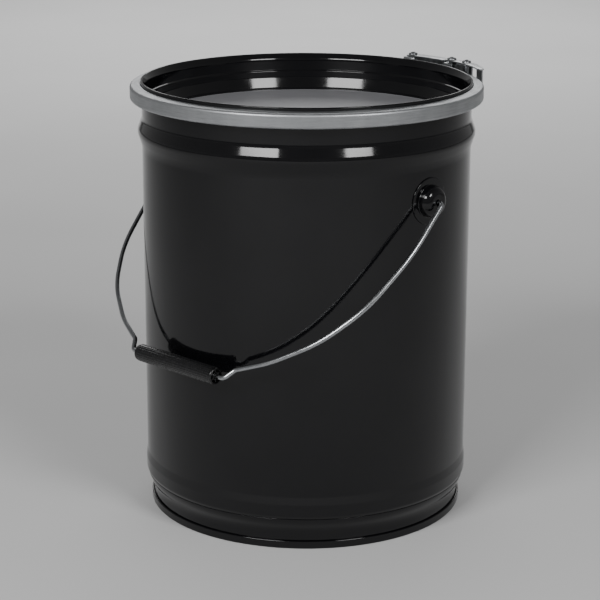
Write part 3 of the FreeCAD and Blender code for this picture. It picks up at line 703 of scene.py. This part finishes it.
def headed_rivet(name, node, body):
    """A rivet with a formed dome at each end, standing where its CAD node stands."""
    low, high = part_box(node)
    centre = (low + high) / 2
    top = (high.z - low.z) / 2 / MM
    under = top - RIVET_DOME
    crown, shoulder = 1.4, 1.3
    corners = [
        (0, top, 0),
        (crown, top, 0.8),
        (RIVET_HEAD, top - shoulder, 1.6),
        (RIVET_HEAD - 0.1, under, 0.2),
        (RIVET, under, 0),
        (RIVET, -under, 0),
        (RIVET_HEAD - 0.1, -under, 0.2),
        (RIVET_HEAD, shoulder - top, 1.6),
        (crown, -top, 0.8),
        (0, -top, 0),
    ]
    rivet = spun(
        name, bent_path(corners, 10, 0.15), RIVET_ZINC, columns=48, closed=False,
        turn=Matrix.Translation(centre),
    )
    belongs(rivet, body, "rivet_steel", node)


# ---------------------------------------------------------------- bail
def bail():
    """Round wire from ear to ear, with a straight seat under the grip and upset ends in the cups."""
    half = [
        (WIRE_END, 0, 0),
        (ELBOW, 0, 4.1),
        (ELBOW + 3.4, 54, 170),
        (ELBOW - 7, SEAT_OUT - 96, 105),
        (ELBOW - 30.7, SEAT_OUT - 54.7, 100),
        (ELBOW - 66, SEAT_OUT - 25.3, 100),
        (GRIP_HALF + 14.75, SEAT_OUT - 10.3, 5),
        (GRIP_HALF + 8.75, SEAT_OUT, 5),
    ]
    corners = half + [(-x, y, bend) for x, y, bend in reversed(half)]
    path = bent_path(corners, 3, 1.0)
    swing = Matrix.Translation((0, 0, PIVOT * MM)) @ Matrix.Rotation(-math.pi / 2 - BAIL_LEAN, 4, "X")
    wire = grown(
        "bail_wire_round", SWEEP, [(p.x, p.y, 0) for p in path],
        edges=[(n, n + 1) for n in range(len(path) - 1)], turn=swing,
        Radius=WIRE * MM, Sides=20, Finish=WIRE_ZINC,
    )
    belongs(wire, "bail", "wire_steel", "bail_wire")
    half_high, upset = 0.9, WIRE + 1.3
    knob = [(0, -half_high, 0), (upset, -half_high, 0.5), (upset, half_high, 0.5), (0, half_high, 0)]
    for side, name in ((1, "wire_knob_right"), (-1, "wire_knob_left")):
        place = Matrix.Translation(Vector((side * (WIRE_END + half_high), 0, PIVOT)) * MM)
        end = spun(
            name, bent_path(knob, 15, 0.2), WIRE_ZINC, columns=32, closed=False,
            turn=place @ Matrix.Rotation(math.pi / 2, 4, "Y"),
        )
        belongs(end, "bail", "wire_steel", "bail_wire")


def grip():
    """Moulded grip: hollow at both ends round a hub on spokes, with fine ribs along its back."""
    end, skin, hub, pocket = GRIP_HALF, GRIP_RADIUS - 0.3, WIRE + 1.35, 7.0
    bore, rim = WIRE + 0.1, GRIP_RADIUS - 1.7
    half = [
        (bore, -end + 0.6, 0.2),
        (hub, -end + 0.6, 0.3),
        (hub, -end + pocket, 0.3),
        (rim, -end + pocket, 0.3),
        (rim, -end, 0.4),
        (skin, -end, 1.6),
    ]
    outline = bent_path(half + [(r, -z, bend) for r, z, bend in reversed(half)], 15, 0.4)
    lay = Matrix.Translation(GRIP_SEAT) @ Matrix.Rotation(math.pi / 2, 4, "Y")
    body = spun("grip_body", outline, GRIP_PLASTIC, columns=96, turn=lay)
    belongs(body, "grip", "grip_plastic", "bail_grip")

    def bar(inner, outer, width, low, high):
        """Corners and faces of one flat bar that points out along X."""
        spots = [
            (x, y, z) for x in (inner, outer) for y in (-width / 2, width / 2) for z in (low, high)
        ]
        sides = [(0, 1, 3, 2), (4, 6, 7, 5), (0, 4, 5, 1), (2, 3, 7, 6), (0, 2, 6, 4), (1, 5, 7, 3)]
        return spots, sides

    bite, spoke_width, spoke_in = 0.3, 0.9, 1.0
    spots, sides = [], []
    for low, high in ((-end + spoke_in, -end + pocket + bite), (end - pocket - bite, end - spoke_in)):
        more, faces = bar(hub - bite, rim + bite, spoke_width, low, high)
        sides += [tuple(corner + len(spots) for corner in face) for face in faces]
        spots += more
    spokes = grown("grip_spokes", REPEAT, spots, faces=sides, turn=lay, Count=6, Finish=GRIP_PLASTIC)
    belongs(spokes, "grip", "grip_plastic", "bail_grip")

    steps = [math.radians(angle) for angle in range(0, 181, 30)]
    sunk, rise, half_wide = 0.12, 0.34, 0.5
    section = [(skin - sunk + rise * math.sin(a), half_wide * math.cos(a)) for a in steps]
    rib_end = end - 2.6
    rib = [(x, y, z) for z in (-rib_end, rib_end) for x, y in section]
    count = len(section)
    sides = [(n, n + 1, n + 1 + count, n + count) for n in range(count - 1)]
    sides += [(count - 1, 0, count, 2 * count - 1), tuple(range(count)), tuple(range(count, 2 * count))]
    ribs = grown("grip_ribs", REPEAT, rib, faces=sides, turn=lay, Count=24, Finish=GRIP_PLASTIC)
    belongs(ribs, "grip", "grip_plastic", "bail_grip")


pail_wall()
pail_bottom()
seam_bead()
bail_ear("ear_cup_right", "ear_right", 0)
bail_ear("ear_cup_left", "ear_left", 180)
plug_cover()
sealing_ring()
clamping_band()
lock_pressings()
headed_rivet("rivet_on_link_lug", "link_lug_rivet", "link_lug")
headed_rivet("rivet_on_fulcrum", "fulcrum_rivet", "band")
headed_rivet("rivet_on_knee", "knee_rivet", "lever")
bail()
grip()


# ---------------------------------------------------------------- studio, in metres and degrees
CAMERA_BEARING = -45.5
CAMERA_OUT = 1.7124
CAMERA_HEIGHT = 0.6661
CAMERA_PITCH = 15.814
CAMERA_YAW = 0.178
CAMERA_ROLL = 0.152
LENS = 119.25            # millimetres
FLOOR_HALF = 12.0
LIGHT_AIM = 0.3          # height on the axis that the softboxes are turned to


def bearing(angle, out, height):
    """A place at a bearing round the pail, in metres."""
    return Vector((out * math.cos(math.radians(angle)), out * math.sin(math.radians(angle)), height))


def camera():
    """The camera, level but for its pitch and a trace of yaw and roll."""
    data = bpy.data.cameras.new("camera")
    data.lens = LENS
    eye = bpy.data.objects.new("camera", data)
    eye.location = bearing(CAMERA_BEARING, CAMERA_OUT, CAMERA_HEIGHT)
    facing = Matrix.Rotation(math.radians(CAMERA_BEARING + 90 + CAMERA_YAW), 4, "Z")
    tipped = Matrix.Rotation(math.radians(90 - CAMERA_PITCH), 4, "X")
    rolled = Matrix.Rotation(math.radians(CAMERA_ROLL), 4, "Z")
    eye.rotation_euler = (facing @ tipped @ rolled).to_euler()
    bpy.context.scene.collection.objects.link(eye)
    bpy.context.scene.camera = eye


def softbox(name, angle, rise, out, width, height, power):
    """A rectangular soft light at a bearing and a rise in degrees, turned to the pail."""
    data = bpy.data.lights.new(name, "AREA")
    data.shape = "RECTANGLE"
    data.size, data.size_y, data.energy = width, height, power
    lamp = bpy.data.objects.new(name, data)
    flat = out * math.cos(math.radians(rise))
    lamp.location = bearing(angle, flat, LIGHT_AIM + out * math.sin(math.radians(rise)))
    aim = Vector((0, 0, LIGHT_AIM)) - lamp.location
    lamp.rotation_euler = aim.to_track_quat("-Z", "Y").to_euler()
    bpy.context.scene.collection.objects.link(lamp)


def overhead(name, out, height, width, depth, power):
    """A large soft light that faces straight down, behind the pail as the camera sees it."""
    data = bpy.data.lights.new(name, "AREA")
    data.shape = "RECTANGLE"
    data.size, data.size_y, data.energy = width, depth, power
    lamp = bpy.data.objects.new(name, data)
    lamp.location = bearing(CAMERA_BEARING + 180, out, height)
    lamp.rotation_euler = (0, 0, math.radians(CAMERA_BEARING + 90))
    bpy.context.scene.collection.objects.link(lamp)


def floor():
    """Pale matt paper floor."""
    material, tree, shader, place = finish("pale_matt_paper", "#C9C9C9", 0.8, ior=1.3)
    cloud = mottled(tree, place, per(400), 0.3, 0.7)
    tree.links.new(colour_mix(tree, cloud, "#C7C7C7", "#CBCBCB"), shader.inputs["Base Color"])
    mesh = bpy.data.meshes.new("floor")
    ways = ((-1, -1), (1, -1), (1, 1), (-1, 1))
    mesh.from_pydata([(x * FLOOR_HALF, y * FLOOR_HALF, 0) for x, y in ways], [], [(0, 1, 2, 3)])
    mesh.materials.append(material)
    ground = bpy.data.objects.new("floor", mesh)
    bpy.context.scene.collection.objects.link(ground)


def surroundings():
    """Pale light from all round, over twice as bright at the horizon as overhead."""
    world = bpy.data.worlds.new("studio")
    bpy.context.scene.world = world
    world.use_nodes = True
    world.node_tree.nodes.clear()
    tree = world.node_tree
    way = add(tree, "ShaderNodeTexCoord").outputs["Generated"]
    up = add(tree, "ShaderNodeSeparateXYZ", {0: way}).outputs["Z"]
    level = add(tree, "ShaderNodeMapRange", {
        "Value": up, "From Min": 0.0, "From Max": 1.0, "To Min": 0.30, "To Max": 0.13,
    })
    light = add(tree, "ShaderNodeBackground", {"Color": (1, 1, 1, 1), "Strength": level.outputs[0]})
    add(tree, "ShaderNodeOutputWorld", {"Surface": light.outputs[0]})


camera()
floor()
surroundings()
softbox("softbox_left", CAMERA_BEARING - 33, 33, 2.6, 1.1, 0.6, 44)
softbox("softbox_right", CAMERA_BEARING + 36.5, 33, 2.6, 0.78, 0.6, 31)
overhead("overhead_behind", 3.1, 1.6, 2.4, 2.6, 56)
